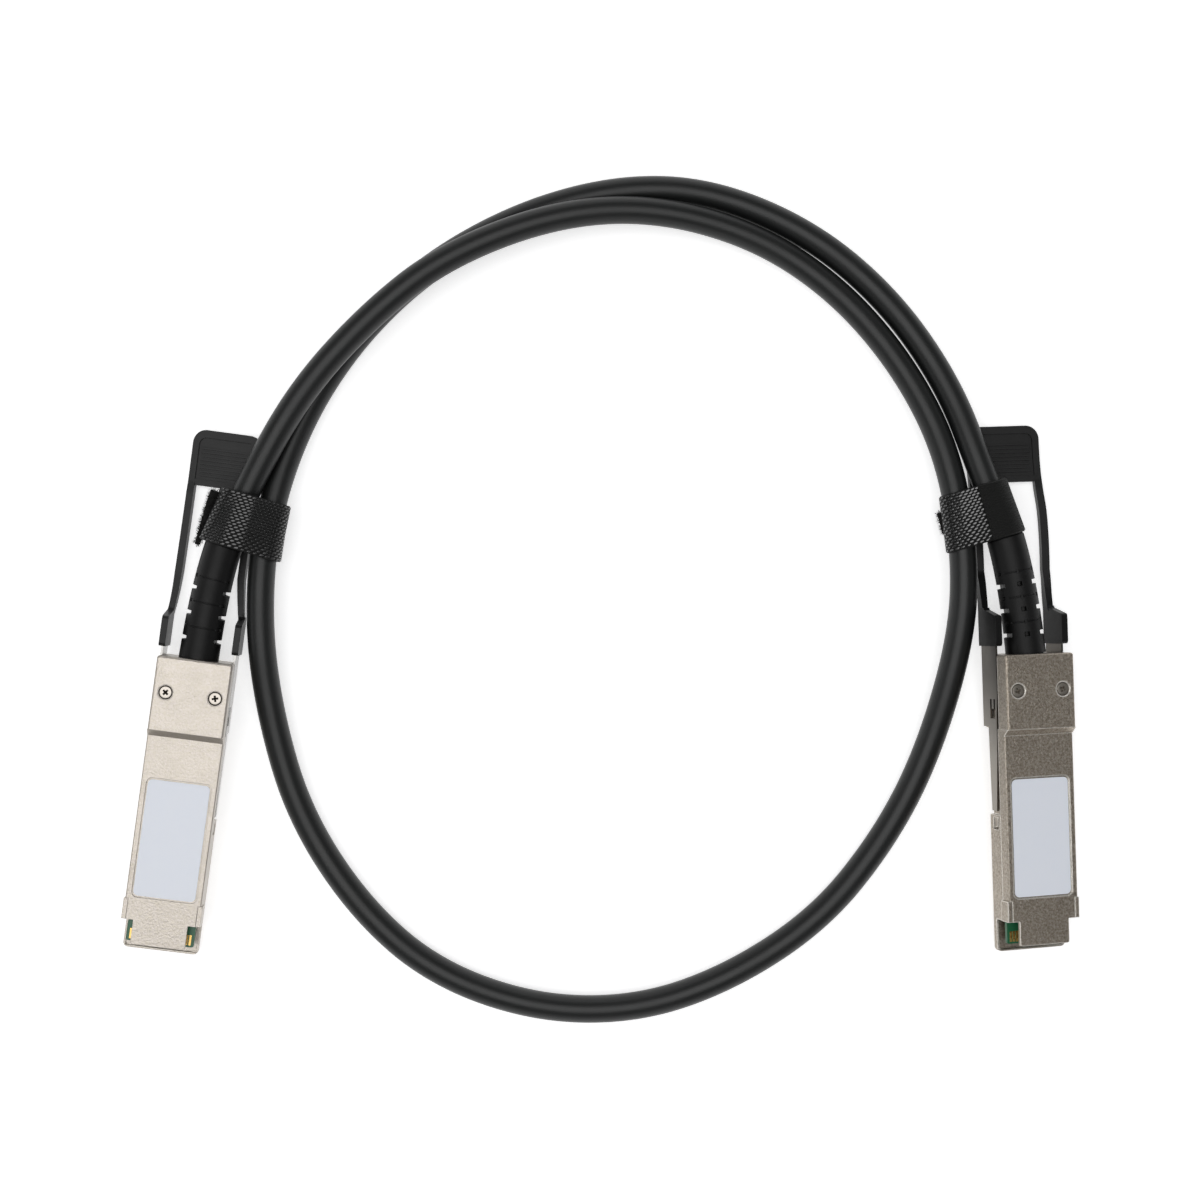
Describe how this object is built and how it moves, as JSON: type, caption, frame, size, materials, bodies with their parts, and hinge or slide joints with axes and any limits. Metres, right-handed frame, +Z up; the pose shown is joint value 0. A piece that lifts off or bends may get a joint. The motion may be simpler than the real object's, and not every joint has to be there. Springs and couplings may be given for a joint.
{
  "type": "direct attach copper cable",
  "caption": "Coiled high-speed copper cable with a flat metal plug, pull-tab release and blank label at each end, held by two hook-and-loop straps.",
  "frame": {"origin": "on the surface the part lies on, under the middle of the box round both connectors, tabs and straps (the cable left out)", "axes": "+X from the left connector to the right one, +Y from the plugs towards the far side of the coil, +Z up"},
  "size_m": [0.2335, 0.2086, 0.0174],
  "materials": {
    "nickel_a": "satin nickel plate on a die-cast shell",
    "nickel_b": "satin nickel plate on a die-cast shell",
    "stamped_steel": "bright stamped steel",
    "screw_steel": "plated screw",
    "spring_steel": "drawn spring wire",
    "black_moulding": "moulded black plastic",
    "boot_black": "soft black moulding",
    "jacket_black": "smooth satin cable jacket",
    "card_green": "green solder mask",
    "gold": "gold plated contacts",
    "chip_black": "moulded chip",
    "capacitor": "ceramic chip",
    "pair_film": "foil wrapped pair",
    "hot_melt": "moulded block",
    "ferrule": "plated ferrule",
    "label": "plain paper label",
    "strap_black": "woven hook-and-loop tape"
  },
  "bodies": {
    "cable_assembly": {"lower_shell_a": "nickel_a", "upper_shell_a": "nickel_a", "shell_screws_a": "screw_steel", "return_springs_a": "spring_steel", "paddle_card_a": "card_green", "contact_fingers_a": "gold", "memory_chip_a": "chip_black", "coupling_capacitors_a": "capacitor", "twinax_pairs_a": "pair_film", "inner_mould_a": "hot_melt", "crimp_ferrule_a": "ferrule", "blank_label_a": "label", "strain_relief_a": "boot_black", "lower_shell_b": "nickel_b", "upper_shell_b": "nickel_b", "shell_screws_b": "screw_steel", "return_springs_b": "spring_steel", "paddle_card_b": "card_green", "contact_fingers_b": "gold", "memory_chip_b": "chip_black", "coupling_capacitors_b": "capacitor", "twinax_pairs_b": "pair_film", "inner_mould_b": "hot_melt", "crimp_ferrule_b": "ferrule", "blank_label_b": "label", "strain_relief_b": "boot_black", "cable_jacket": "jacket_black", "strap_a": "strap_black", "strap_b": "strap_black"},
    "release_a": {"latch_slider_a": "stamped_steel", "pull_tab_a": "black_moulding"},
    "release_b": {"latch_slider_b": "stamped_steel", "pull_tab_b": "black_moulding"}
  },
  "joints": [
    {"name": "release_slide_a", "type": "slide", "parent": "cable_assembly", "child": "release_a", "axis": [0.134, 0.991, 0], "range_m": [0, 0.003], "stiffness_N_per_m": 1000, "springref_m": -0.002, "deforming": ["return_springs_a"]},
    {"name": "release_slide_b", "type": "slide", "parent": "cable_assembly", "child": "release_b", "axis": [-0.0314, 0.9995, 0], "range_m": [0, 0.003], "stiffness_N_per_m": 1000, "springref_m": -0.002, "deforming": ["return_springs_b"]}
  ]
}
